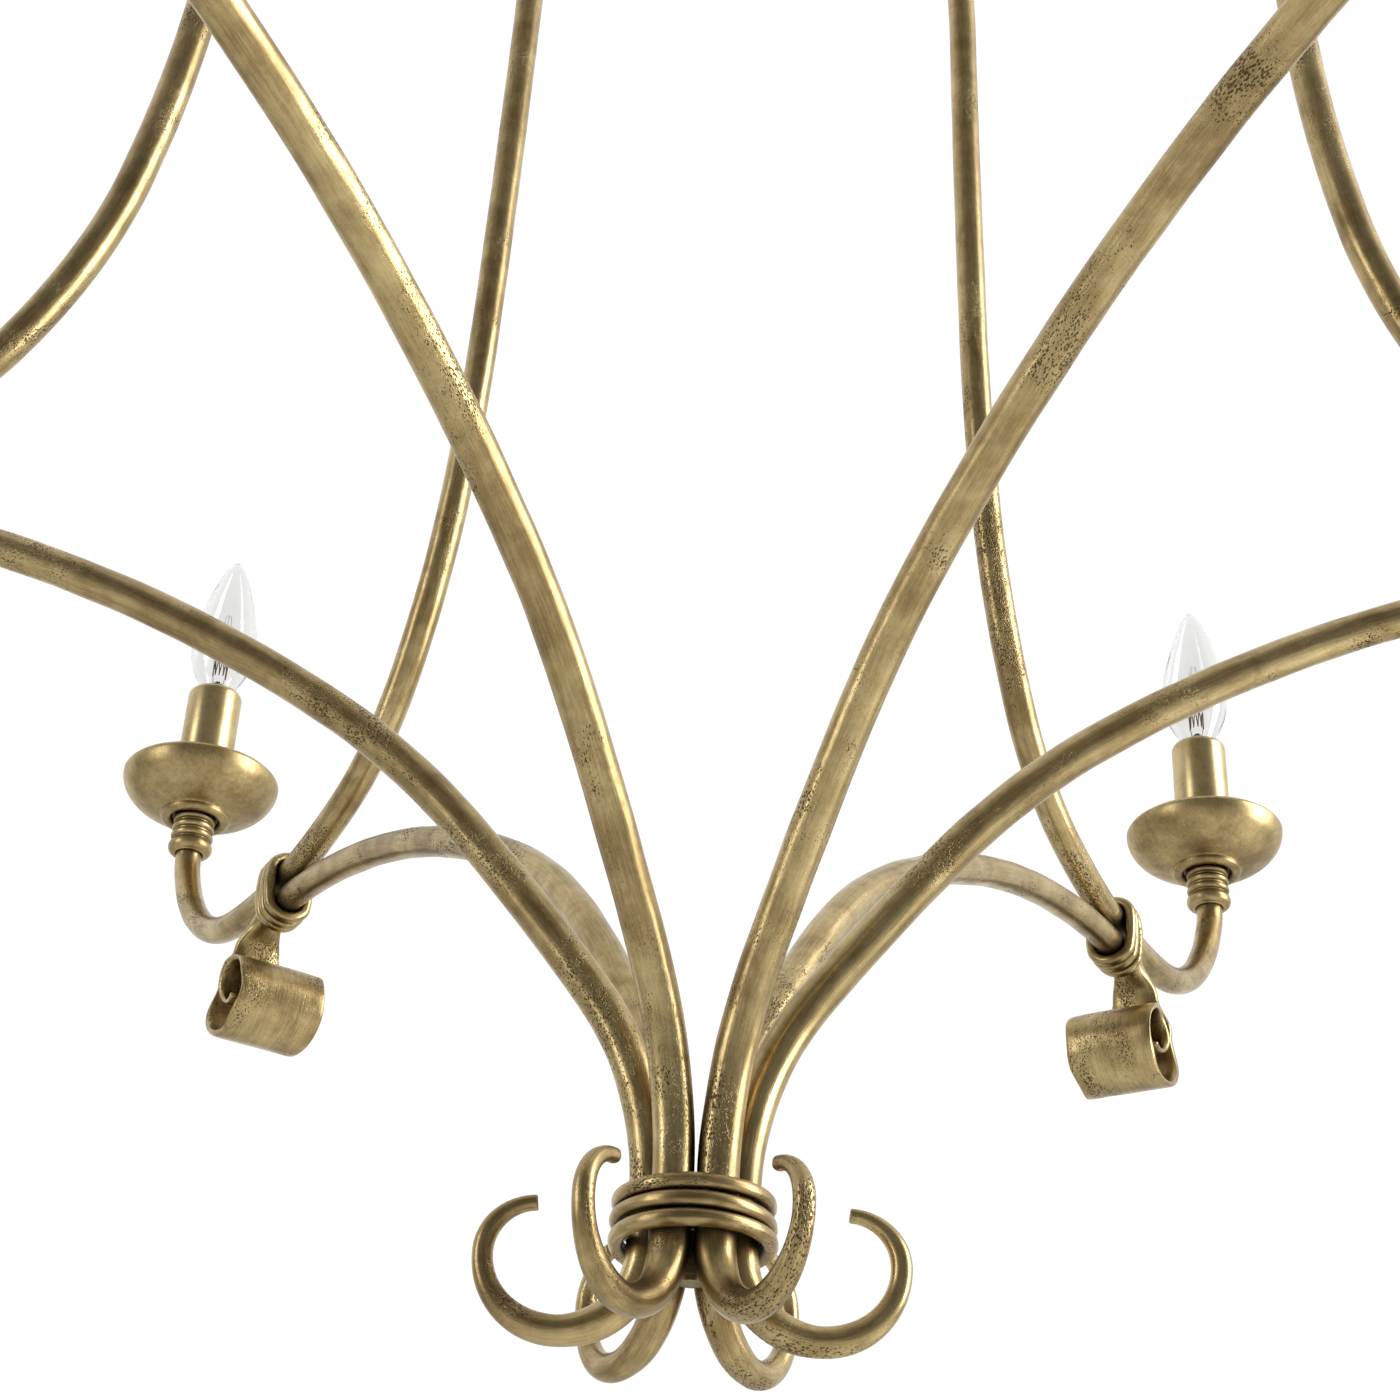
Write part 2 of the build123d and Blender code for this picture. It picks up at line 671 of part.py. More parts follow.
compound_parts = {"lampholders": at_candle * make_holder(), "leads": DROP * make_lead()}
for name, shape in compound_parts.items():
    copies = [place(shape, index) for index in range(ARM_COUNT)]
    save(name, Compound(children=copies))

save("bottom_tie", DROP * make_bottom_tie())
save("core_stud", DROP * make_core_stud())
save("hub", DROP * Pos(0, 0, HUB_Z) * make_hub())
for link in range(LINK_COUNT):
    number = LINK_COUNT - link
    quarter = 90.0 if number % 2 else 0.0
    shape = Rot(0, 0, quarter) * make_link()
    save("chain_link_" + str(number), DROP * Pos(0, 0, LINK_ZS[link]) * shape)
save("canopy_loop", make_canopy_loop(LOOP_BOTTOM + LOOP_R - CEILING_Z))
save("canopy", make_canopy())
save("crossbar", make_crossbar())
save("canopy_fixings", make_canopy_fixings())

print("ceiling above the bottom tie", round(CEILING_Z, 3))
print("candle circle radius", round(CANDLE_R, 3), "neck", round(NECK_Z - CEILING_Z, 3))
print("hub underside", round(HUB_Z - CEILING_Z, 3), "eye top", round(EYE_TOP - CEILING_Z, 3))
print("links", [round(z - CEILING_Z, 3) for z in LINK_ZS])
print("loop bottom", round(LOOP_BOTTOM - CEILING_Z, 3))
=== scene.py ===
"""Looks of the six-arm candle chandelier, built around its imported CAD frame.

Shapes are written in millimetres, as in the part's own drawing, and turned
into metres when a mesh is made. Heights of the arms count from the level where
they start to spread, and a candle's heights from the bottom of its neck.
"""
from math import cos, pi, radians, sin

import bpy
from mathutils import Matrix, Vector, noise


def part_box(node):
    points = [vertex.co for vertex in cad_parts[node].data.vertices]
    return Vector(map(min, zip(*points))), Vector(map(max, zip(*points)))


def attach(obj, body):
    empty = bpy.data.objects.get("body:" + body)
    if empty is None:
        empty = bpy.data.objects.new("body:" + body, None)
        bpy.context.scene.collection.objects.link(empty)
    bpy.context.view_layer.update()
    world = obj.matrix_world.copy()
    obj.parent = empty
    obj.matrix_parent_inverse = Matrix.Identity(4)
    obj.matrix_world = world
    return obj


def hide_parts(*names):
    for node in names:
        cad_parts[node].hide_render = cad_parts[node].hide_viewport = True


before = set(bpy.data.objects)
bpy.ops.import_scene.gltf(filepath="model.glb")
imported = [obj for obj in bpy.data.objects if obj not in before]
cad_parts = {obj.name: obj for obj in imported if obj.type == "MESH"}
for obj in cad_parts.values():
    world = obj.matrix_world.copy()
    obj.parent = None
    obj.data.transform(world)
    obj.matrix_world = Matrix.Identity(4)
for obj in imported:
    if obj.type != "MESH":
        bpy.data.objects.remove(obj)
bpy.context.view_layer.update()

MM = 0.001
ARM_ANGLES = (-119.7, -60.4, -0.2, 59.9, 121.7, 178.9)
ARM_COUNT = len(ARM_ANGLES)

# Rods, as in the part
ARM_R = 6.35
STAY_R = 6.6
ROD_GAP = 0.1
ARM_WAIST = 13.4
TIE_Z = -14.0
ARM_STRAIGHT = 9.2
ARM_RISE = (
    (109.1, 36.5), (925.0, 4.3), (259.0, 16.0), (509.0, 10.0), (459.0, 19.0), (75.0, 11.0),
)
RIBBON_STRAIGHT = 8.0
RIBBON_BEND = (18.0, 83.2)
RIBBON_DROP = 28.0
RIBBON_ROLL = ((19.5, 90.0), (18.5, 90.0), (15.0, 90.0), (9.5, 90.0), (10.5, 95.0))
RIBBON_TAIL = 4.0
# Share of the ribbon's length, width, thickness, squareness of the section
RIBBON_SECTIONS = (
    (0.0, 12.7, 12.7, 2.0),
    (0.09, 14.5, 8.6, 2.6),
    (0.17, 22.0, 5.2, 3.4),
    (0.28, 33.0, 3.8, 4.5),
    (0.40, 40.0, 3.2, 6.0),
    (0.60, 40.0, 3.0, 6.0),
    (0.85, 40.0, 3.0, 6.0),
    (1.0, 38.5, 2.8, 6.0),
)
SCROLL_STRAIGHT = 8.0
SCROLL_BENDS = ((25.5, 90.0), (22.8, 90.0), (15.5, 86.0))
SCROLL_SECTIONS = (
    (0.0, 12.7, 12.7, 2.0),
    (0.1, 12.4, 12.4, 2.0),
    (0.31, 10.5, 10.5, 2.0),
    (0.45, 9.2, 9.2, 2.0),
    (0.78, 6.4, 6.4, 2.1),
    (1.0, 4.7, 4.5, 2.4),
)
STAY_UP = ((241.0, 14.0), (104.0, 37.4), (253.0, 20.7), (688.0, 8.1), (6342.0, 1.7))
STAY_DOME = (265.0, 50.0)
STAY_HUB_BEND_R = 92.0
STAY_HUB_RADIUS = 22.0
STAY_IN_HUB = 10.0
STAY_OUT = ((240.0, 13.7), (105.3, 59.0), (28.5, 24.1))
NECK_TUBE_DEPTH = 7.0
TIE_BAR_R = 2.5
TIE_PITCH = 4.9
BOTTOM_BAR_R = 2.55
BOTTOM_PITCH = 6.0
TIE_GAP = 0.35
TIE_TURNS = 3

# Candles, as in the part
FIT_GAP = 0.1
STEM_R = 4.9
NECK_H = 22.0
NUT_R = 11.3
NUT_H = 7.5
NUT_EASE = 3.0
RIBS = 3
RIB_R = 10.9
RIB_GAP = 0.9
RIB_EASE = 1.9
GROOVE_R = 9.6
CUP_R = 40.5
CUP_WIDEST_Z = 21.4
CUP_UPPER_H = 7.5
CUP_OVAL_R = 8.0
CUP_RIM_ANGLE = 45.0
CUP_WALL = 1.6
CUP_STEPS = 40
CUP_FOOT_R = 18.0
FOOT_BAR_R = 3.0
SLEEVE_R = 14.2
SLEEVE_WALL = 1.1
SLEEVE_TOP = 97.5
SLEEVE_MOUTH_R = 10.4
SLEEVE_SHOULDER = 3.2
BULB_R = 17.0
GLASS_WALL = 0.8
GLASS_KNOTS = (
    (5.6, 88.3), (7.0, 95.0), (10.2, 103.0), (15.2, 114.0), (17.0, 126.0), (16.1, 140.0),
    (12.92, 154.0), (8.4, 169.0), (4.42, 178.5), (2.0, 181.9), (0.0, 183.0),
)
STEM_OUTLINE = (
    (4.6, 88.6), (4.2, 92.0), (2.4, 96.0), (1.6, 100.0), (1.6, 103.0), (2.4, 104.6), (0.0, 105.6),
)
LEAD_WIRE = ((1.1, 94.0), (1.6, 101.0), (3.0, 106.0), (3.6, 119.0))
SUPPORT_WIRE = ((3.6, 118.0), (3.3, 128.0), (2.4, 138.0), (0.8, 148.0))
SUPPORT_ANGLES = (0.0, 75.0, 180.0)
COIL_R = 3.6
COIL_Z = 108.0
COIL_RISE = 9.0
COIL_WAVES = 5
COIL_ANGLES = (0.0, 180.0)
COIL_STEPS = 260

SPIN_STEP = 47.0
SPIN_START = 20.0
LEAD_WIRE_R = 0.28
SUPPORT_WIRE_R = 0.16
COIL_WIRE_R = 0.30

# Glass
GLASS_IOR = 1.47
THIN_GLASS_GAIN = 1.03

# Small unevenness of hand work, arm by arm
SCROLL_WANDER = (0.0, -1.2, 0.8, 1.1, -0.7, 0.5)
TIE_TILTS = ((0.5, 0.2, 0.7), (0.3, 0.6, 0.4), (0.7, 0.3, 0.5))
BOTTOM_TILTS = (0.9, 0.5, 0.8)
BOTTOM_SEED = 0.9
TIE_SEED_STEP = 1.7
TURN_SEED_STEP = 2.1
TIE_SWELL = 0.035
STAY_SEED = 10
ARM_DENTS = 0.22
STAY_DENTS = 0.10
TIE_DENTS = 0.16
DENT_SCALE = 0.16
DENT_STRETCH = 0.055
DENT_SEED_STEP = 7.3
GRAIN_STRETCH = 0.06
GRAIN_SEED_STEP = 31.0
# Reach and size of the two rings that ease a cut end
BLUNT_STEPS = ((0.35, 0.97), (0.6, 0.86))

STEP = 2.0
AROUND = 40


# ---------------------------------------------------------------- meshes

def make_object(name, corners, faces, grain=None):
    """A smooth mesh object from corners in millimetres.

    grain is one vector a corner, drawn out along the way the metal was
    worked, so that a noise read from it comes out as streaks.
    """
    mesh = bpy.data.meshes.new(name)
    mesh.from_pydata([[value * MM for value in corner] for corner in corners], [], faces)
    if grain:
        layer = mesh.attributes.new("grain", "FLOAT_VECTOR", "POINT")
        layer.data.foreach_set("vector", [value * MM for vector in grain for value in vector])
    mesh.shade_smooth()
    mesh.update()
    piece = bpy.data.objects.new(name, mesh)
    bpy.context.scene.collection.objects.link(piece)
    return piece


def skin(rings, closed=False):
    """Faces over a stack of equal rings of corners, capped unless closed."""
    count = len(rings[0])
    corners = [corner for ring in rings for corner in ring]
    faces = []
    spans = len(rings) if closed else len(rings) - 1
    for level in range(spans):
        low = level * count
        high = ((level + 1) % len(rings)) * count
        for side in range(count):
            after = (side + 1) % count
            faces.append((low + side, low + after, high + after, high + side))
    if not closed:
        faces.append(tuple(reversed(range(count))))
        last = (len(rings) - 1) * count
        faces.append(tuple(last + side for side in range(count)))
    return corners, faces


def section(width, thick, square):
    """Corners of a rounded outline: an ellipse at 2, near a rectangle at 6."""
    outline = []
    for side in range(AROUND):
        angle = 2.0 * pi * side / AROUND
        across = abs(cos(angle)) ** (2.0 / square) * (1 if cos(angle) >= 0 else -1)
        along = abs(sin(angle)) ** (2.0 / square) * (1 if sin(angle) >= 0 else -1)
        outline.append((across * width / 2.0, along * thick / 2.0))
    return outline


def bar(points, sizes, side, seed, rough=0.10, closed=False, grain_start=0.0):
    """Rings and grain of a bar along 3-D points, with a size at each point.

    side is the direction across the bar at its start. Forging marks move the
    skin in and out by up to rough millimetres.
    """
    rings = []
    grain = []
    travelled = grain_start
    across = Vector(side).normalized()
    count = len(points)
    for index, point in enumerate(points):
        if closed:
            ahead, behind = points[(index + 1) % count], points[index - 1]
        else:
            ahead, behind = points[min(index + 1, count - 1)], points[max(index - 1, 0)]
        way = (ahead - behind).normalized()
        across = (across - way * across.dot(way)).normalized()
        up = way.cross(across)
        width, thick, square = sizes[index]
        ring = []
        for x, y in section(width, thick, square):
            along = travelled * DENT_STRETCH + seed * DENT_SEED_STEP
            spot = Vector((x * DENT_SCALE, y * DENT_SCALE, along))
            dent = 1.0 + rough * noise.noise(spot) / max(thick / 2.0, 1.0)
            ring.append(point + across * x * dent + up * y * dent)
            grain.append((x, y + seed * GRAIN_SEED_STEP, travelled * GRAIN_STRETCH))
        rings.append(ring)
        travelled += (ahead - point).length
    return rings, grain


def blunt(rings, grain, ends=(True, True)):
    """Eases a bar's cut ends with two short rings each."""
    for end in (0, -1):
        if not ends[end]:
            continue
        edge = rings[end]
        inner = rings[1] if end == 0 else rings[-2]
        middle = sum(edge, Vector()) / len(edge)
        way = (middle - sum(inner, Vector()) / len(inner)).normalized()
        marks = grain[: len(edge)] if end == 0 else grain[-len(edge):]
        for reach, shrink in BLUNT_STEPS:
            ring = [middle + (corner - middle) * shrink + way * reach for corner in edge]
            if end == 0:
                rings.insert(0, ring)
                grain[:0] = marks
            else:
                rings.append(ring)
                grain.extend(marks)
    return rings, grain


def join_parts(parts):
    """One corner list, face list and grain list from several."""
    corners, faces, grain = [], [], []
    for part_corners, part_faces, part_grain in parts:
        start = len(corners)
        corners += part_corners
        faces += [tuple(start + corner for corner in face) for face in part_faces]
        grain += part_grain
    return corners, faces, grain


# ---------------------------------------------------------------- routes

class Route:
    """Evenly sampled straights and tangent arcs in the (radius, height) plane."""

    def __init__(self, start, heading):
        self.points = [Vector(start)]
        self.heading = heading

    def run(self, length, turn=0.0):
        steps = max(2, round(length / STEP))
        for _ in range(steps):
            self.heading += turn / steps / 2.0
            way = Vector((cos(radians(self.heading)), sin(radians(self.heading))))
            chord = length / steps
            self.points.append(self.points[-1] + way * chord)
            self.heading += turn / steps / 2.0
        return self

    def bend(self, bend_radius, turn):
        return self.run(bend_radius * radians(abs(turn)), turn)


def lift(points, drop):
    """(radius, height) points as 3-D points of the XZ plane."""
    return [Vector((point.x, 0.0, point.y + drop)) for point in points]


def sized(points, sections):
    """Sizes along a route, blended between sections given by their share."""
    lengths = [0.0]
    for before, after in zip(points, points[1:]):
        lengths.append(lengths[-1] + (after - before).length)
    sizes = []
    for length in lengths:
        share = length / lengths[-1]
        for low, high in zip(sections, sections[1:]):
            if share <= high[0] + 1e-9:
                mix = (share - low[0]) / (high[0] - low[0])
                mix = mix * mix * (3.0 - 2.0 * mix)
                sizes.append(tuple(a + (b - a) * mix for a, b in zip(low[1:], high[1:])))
                break
    return sizes


def arm_route():
    rise = Route((ARM_WAIST, TIE_Z), 90.0)
    rise.run(ARM_STRAIGHT)
    for bend_radius, turn in ARM_RISE:
        rise.bend(bend_radius, -turn)
    return rise


def stay_points(rise):
    offset = ARM_R + STAY_R + ROD_GAP
    normal = radians(rise.heading + 90.0)
    tie = rise.points[-1] + Vector((cos(normal), sin(normal))) * offset
    up = Route(tie, rise.heading + 180.0)
    for bend_radius, turn in STAY_UP:
        up.bend(bend_radius, -turn)
    up.bend(STAY_DOME[0], STAY_DOME[1])
    lean = up.heading - 90.0
    bend_width = STAY_HUB_BEND_R * (1.0 - cos(radians(lean)))
    up.run((up.points[-1].x - STAY_HUB_RADIUS - bend_width) / sin(radians(lean)))
    up.bend(STAY_HUB_BEND_R, -lean)
    up.run(STAY_IN_HUB)
    out = Route(tie, rise.heading)
    for bend_radius, turn in STAY_OUT:
        out.bend(bend_radius, turn)
    neck = out.points[-1].copy()
    out.run(NECK_TUBE_DEPTH)
    return list(reversed(up.points)) + out.points[1:], tie, neck, up.points[-1].y


def turned(point, index):
    return Matrix.Rotation(radians(ARM_ANGLES[index]), 3, "Z") @ point


def turn_parts(parts, index):
    corners, faces, grain = parts
    return [turned(corner, index) for corner in corners], faces, grain


# ---------------------------------------------------------------- heights

def middle_height(node):
    low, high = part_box(node)
    return (low.z + high.z) / 2.0 / MM


DROP = middle_height("bottom_tie") - TIE_Z
RISE = arm_route()
STAY_LINE, TIE_SPOT, NECK_SPOT, HUB_TOP = stay_points(RISE)
CANDLE_R = NECK_SPOT.x
NECK_Z = NECK_SPOT.y + DROP


# ---------------------------------------------------------------- rods

def make_arm(index):
    """One arm in one bar: scroll, rise, arch and rolled ribbon."""
    foot = Route((ARM_WAIST, TIE_Z), -90.0)
    foot.run(SCROLL_STRAIGHT)
    for bend_radius, turn in SCROLL_BENDS[:1]:
        foot.bend(bend_radius, turn)
    for bend_radius, turn in SCROLL_BENDS[1:]:
        foot.bend(bend_radius, turn + SCROLL_WANDER[index])
    end = Route(RISE.points[-1], RISE.heading)
    end.run(RIBBON_STRAIGHT)
    end.bend(RIBBON_BEND[0], -RIBBON_BEND[1])
    end.run(RIBBON_DROP)
    for bend_radius, turn in RIBBON_ROLL:
        end.bend(bend_radius, -turn)
    end.run(RIBBON_TAIL)
    round_size = (2.0 * ARM_R, 2.0 * ARM_R, 2.0)
    points = list(reversed(foot.points)) + RISE.points[1:-1] + end.points
    sizes = list(reversed(sized(foot.points, SCROLL_SECTIONS)))
    sizes += [round_size] * (len(RISE.points) - 2) + sized(end.points, RIBBON_SECTIONS)
    rings, grain = bar(lift(points, DROP), sizes, (0, 1, 0), index, rough=ARM_DENTS)
    rings, grain = blunt(rings, grain)
    corners, faces = skin(rings)
    parts = turn_parts((corners, faces, grain), index)
    name = "arm_" + str(index + 1)
    return dress(make_object("forged_" + name, *parts), "frame", name, RODS)


def make_stay(index):
    """One stay, from its socket in the hub to its seat in the neck."""
    size = (2.0 * STAY_R, 2.0 * STAY_R, 2.0)
    points = lift(STAY_LINE, DROP)
    seed = index + STAY_SEED
    rings, grain = bar(points, [size] * len(points), (0, 1, 0), seed, rough=STAY_DENTS)
    corners, faces = skin(rings)
    parts = turn_parts((corners, faces, grain), index)
    name = "stay_" + str(index + 1)
    return dress(make_object("drawn_" + name, *parts), "frame", name, RODS)


def ring_points(half_length, ring_radius, level, tilt, phase):
    """A closed turn: two straights and two round ends, a little out of true."""
    perimeter = 4.0 * half_length + 2.0 * pi * ring_radius
    count = max(48, round(perimeter / 1.6))
    points = []
    for step in range(count):
        angle = 2.0 * pi * step / count
        wobble = 1.0 + 0.010 * sin(2.0 * angle + phase) + 0.006 * sin(3.0 * angle + 2.0 * phase)
        x = cos(angle) * ring_radius * wobble
        y = sin(angle) * ring_radius * wobble
        stretch = max(-1.0, min(1.0, 2.2 * cos(angle)))
        lean = tilt * cos(angle + phase) + 0.22 * tilt * sin(2.0 * angle + phase)
        points.append(Vector((x + stretch * half_length, y, level + lean)))
    return points


def make_rings(half_length, ring_radius, bar_radius, pitch, tilts, seed):
    """Three turns of bar, each with its own tilt, as one set of parts."""
    parts = []
    for turn in range(TIE_TURNS):
        level = (turn - (TIE_TURNS - 1) / 2.0) * pitch
        phase = seed + TURN_SEED_STEP * turn
        points = ring_points(half_length, ring_radius, level, tilts[turn], phase)
        thick = 2.0 * bar_radius * (1.0 - 0.03 * turn)
        sizes = []
        for step in range(len(points)):
            swell = 1.0 + TIE_SWELL * sin(2.0 * pi * 3.0 * step / len(points) + seed)
            sizes.append((thick * swell, thick * 0.96 * swell, 2.25))
        rings, grain = bar(points, sizes, (0, 0, 1), seed + turn, rough=TIE_DENTS, closed=True)
        corners, faces = skin(rings, closed=True)
        parts.append((corners, faces, grain))
    return join_parts(parts)


def make_arm_tie(index):
    """The wrap that holds an arm and its stay together."""
    radius = STAY_R + TIE_GAP + TIE_BAR_R
    tilts = TIE_TILTS[index % len(TIE_TILTS)]
    half = (ARM_R + STAY_R + ROD_GAP) / 2.0
    seed = index * TIE_SEED_STEP
    corners, faces, grain = make_rings(half, radius, TIE_BAR_R, TIE_PITCH, tilts, seed)
    heading = radians(RISE.heading)
    way = Vector((cos(heading), 0.0, sin(heading)))
    up = Vector((-sin(heading), 0.0, cos(heading)))
    middle = (RISE.points[-1] + TIE_SPOT) / 2.0
    centre = Vector((middle.x, 0.0, middle.y + DROP))
    across = way.cross(up)
    placed = [centre + up * spot.x + across * spot.y + way * spot.z for spot in corners]
    name = "arm_tie_" + str(index + 1)
    parts = turn_parts((placed, faces, grain), index)
    return dress(make_object("wrapped_" + name, *parts), "frame", name, RODS)


def make_bottom_tie():
    radius = ARM_WAIST + ARM_R + TIE_GAP + BOTTOM_BAR_R
    turns = make_rings(0.0, radius, BOTTOM_BAR_R, BOTTOM_PITCH, BOTTOM_TILTS, BOTTOM_SEED)
    corners, faces, grain = turns
    placed = [spot + Vector((0.0, 0.0, DROP + TIE_Z)) for spot in corners]
    piece = make_object("wrapped_bottom_tie", placed, faces, grain)
    return dress(piece, "frame", "bottom_tie", RODS)


# ---------------------------------------------------------------- turned work

def eased(outline, ease):
    """An open outline with each inner corner rounded by a short curve."""
    points = [Vector(outline[0])]
    for before, corner, after in zip(outline, outline[1:], outline[2:]):
        corner = Vector(corner)
        back = Vector(before) - corner
        ahead = Vector(after) - corner
        reach = min(ease, back.length * 0.45, ahead.length * 0.45)
        start = corner + back.normalized() * reach
        end = corner + ahead.normalized() * reach
        for step in range(5):
            t = step / 4.0
            points.append(start * (1 - t) ** 2 + corner * 2 * t * (1 - t) + end * t * t)
    points.append(Vector(outline[-1]))
    return points


def lathe(outline, around=96, closed=True):
    """Corners, faces and grain of a solid turned about Z.

    A closed outline is a ring of metal; an open one starts and ends on the
    axis. Its grain runs round the piece, as a turning tool leaves it.
    """
    corners, faces, grain = [], [], []
    rows = []
    travelled = 0.0
    before = Vector(outline[0])
    for radius, height in outline:
        travelled += (Vector((radius, height)) - before).length
        before = Vector((radius, height))
        start = len(corners)
        if radius < 1e-6:
            corners.append(Vector((0.0, 0.0, height)))
            grain.append((travelled, 0.0, 0.0))
            rows.append((start, 1))
            continue
        for step in range(around):
            angle = 2.0 * pi * step / around
            spot = Vector((radius * cos(angle), radius * sin(angle), height))
            corners.append(spot)
            grain.append((travelled, spot.x * 0.05, spot.y * 0.05))
        rows.append((start, around))
    pairs = list(zip(rows, rows[1:]))
    if closed:
        pairs.append((rows[-1], rows[0]))
    for (low, low_count), (high, high_count) in pairs:
        for step in range(around):
            after = (step + 1) % around
            if low_count == 1 and high_count == 1:
                continue
            if low_count == 1:
                faces.append((low, high + after, high + step))
            elif high_count == 1:
                faces.append((low + step, low + after, high))
            else:
                faces.append((low + step, low + after, high + after, high + step))
    return corners, faces, grain


def at_candle(corners, index, height=0.0):
    spot = turned(Vector((CANDLE_R, 0.0, 0.0)), index)
    offset = Vector((spot.x, spot.y, NECK_Z + height))
    return [corner + offset for corner in corners]


def turned_piece(label, outline, index, node, body="frame", finish=None, around=96):
    corners, faces, grain = lathe(outline, around)
    name = node + "_" + str(index + 1)
    piece = make_object(label + "_" + name, at_candle(corners, index), faces, grain)
    return dress(piece, body, name, finish)


# ---------------------------------------------------------------- candles

def half_round(radius, low, high, bulge, steps=8):
    """A bead's outer side, from one height to another at about one radius."""
    points = []
    for step in range(steps + 1):
        angle = pi * step / steps
        level = (low + high) / 2.0 - cos(angle) * (high - low) / 2.0
        points.append((radius - bulge + sin(angle) * bulge, level))
    return points


def neck_outline():
    """Outer side of the turned neck: a rounded nut and three ribs."""
    outline = [(STAY_R + FIT_GAP, 0.0), (NUT_R - NUT_EASE, 0.0)]
    outline += half_round(NUT_R, 0.2, NUT_H, NUT_EASE, 12)
    pitch = (NECK_H - NUT_H) / RIBS
    for rib in range(RIBS):
        low = NUT_H + rib * pitch
        outline.append((GROOVE_R, low + 0.05))
        outline.append((GROOVE_R, low + RIB_GAP / 2.0))
        outline += half_round(RIB_R, low + RIB_GAP / 2.0, low + pitch - RIB_GAP / 2.0, RIB_EASE)
    outline += [(GROOVE_R, NECK_H - 0.1), (STEM_R + FIT_GAP, NECK_H - 0.1)]
    outline += [(STEM_R + FIT_GAP, NECK_TUBE_DEPTH), (STAY_R + FIT_GAP, NECK_TUBE_DEPTH)]
    return outline


def cup_side(shrink):
    """The cup's oval side, from its foot up to the rim."""
    wide = CUP_R - shrink - CUP_OVAL_R
    points = []
    for step in range(CUP_STEPS + 1):
        turn = radians(-90.0 + (CUP_RIM_ANGLE + 90.0) * step / CUP_STEPS)
        half = (CUP_WIDEST_Z if turn < 0.0 else CUP_UPPER_H) - shrink
        points.append((CUP_OVAL_R + wide * cos(turn), CUP_WIDEST_Z + half * sin(turn)))
    return points


def cup_outline():
    """Foot bead, oval side, rounded lip, and back down the inside."""
    outer = [(r, z) for r, z in cup_side(0.0) if r > CUP_FOOT_R + 0.6 or z > CUP_WIDEST_Z]
    inner = cup_side(CUP_WALL)
    bead = []
    centre = CUP_FOOT_R - FOOT_BAR_R
    for step in range(17):
        turn = radians(-180.0 + 195.0 * step / 16.0)
        bead.append((centre + FOOT_BAR_R * cos(turn), FOOT_BAR_R * sin(turn)))
    rim_out, rim_in = Vector(outer[-1]), Vector(inner[-1])
    middle, across = (rim_out + rim_in) / 2.0, (rim_out - rim_in) / 2.0
    way = (rim_out - Vector(outer[-2])).normalized()
    lip = []
    for step in range(1, 8):
        turn = pi * step / 8.0
        lip.append(tuple(middle + across * cos(turn) + way * sin(turn) * CUP_WALL * 0.4))
    hole = STEM_R + FIT_GAP
    floor = [(hole, CUP_WALL), (hole, 0.02), (centre - FOOT_BAR_R - 0.4, 0.02)]
    return floor + bead + outer + lip + list(reversed(inner))


def sleeve_outline():
    """The candle sleeve's wall, round its shoulder and down the inside."""
    bottom = NECK_H + CUP_WALL
    outer, inner = [], []
    for step in range(11):
        turn = radians(90.0 * step / 10.0)
        reach = SLEEVE_SHOULDER
        outer.append((
            SLEEVE_R - reach + reach * cos(turn),
            SLEEVE_TOP - reach + reach * sin(turn),
        ))
        inner.append((
            SLEEVE_R - reach + (reach - SLEEVE_WALL) * cos(turn),
            SLEEVE_TOP - reach + (reach - SLEEVE_WALL) * sin(turn),
        ))
    mouth = [
        (SLEEVE_MOUTH_R + 0.25, SLEEVE_TOP),
        (SLEEVE_MOUTH_R, SLEEVE_TOP - 0.25),
        (SLEEVE_MOUTH_R, SLEEVE_TOP - SLEEVE_WALL + 0.25),
        (SLEEVE_MOUTH_R + 0.25, SLEEVE_TOP - SLEEVE_WALL),
    ]
    lower = [(SLEEVE_R - 0.3, bottom), (SLEEVE_R, bottom + 0.3), (SLEEVE_R, SLEEVE_TOP - 8.0)]
    inside = [(SLEEVE_R - SLEEVE_WALL, SLEEVE_TOP - 8.0), (SLEEVE_R - SLEEVE_WALL, bottom)]
    return lower + outer + mouth + list(reversed(inner)) + inside


def smooth_curve(knots, steps=10):
    """A curve through the knots, with its tangents taken from their neighbours."""
    points = []
    knots = [Vector(knot) for knot in knots]
    count = len(knots)
    for index in range(count - 1):
        start, end = knots[index], knots[index + 1]
        before = knots[index - 1] if index else start * 2 - end
        after = knots[index + 2] if index + 2 < count else end * 2 - start
        if index + 2 == count:
            after = Vector((-start.x, start.y))
        lean_in, lean_out = (end - before) / 2.0, (after - start) / 2.0
        for step in range(steps):
            t = step / steps
            spot = start * (2 * t ** 3 - 3 * t ** 2 + 1) + lean_in * (t ** 3 - 2 * t ** 2 + t)
            spot += end * (3 * t ** 2 - 2 * t ** 3) + lean_out * (t ** 3 - t ** 2)
            points.append((max(spot.x, 0.0), spot.y))
    points.append(tuple(knots[-1]))
    return points


def glass_outline():
    """The lamp's thin envelope: out from its neck to the tip and back inside."""
    outer = smooth_curve(GLASS_KNOTS)
    inner = [(max(r - GLASS_WALL, 0.0), z - GLASS_WALL * (1.0 - r / BULB_R)) for r, z in outer]
    inner[0] = (outer[0][0] - GLASS_WALL, outer[0][1])
    return outer, inner


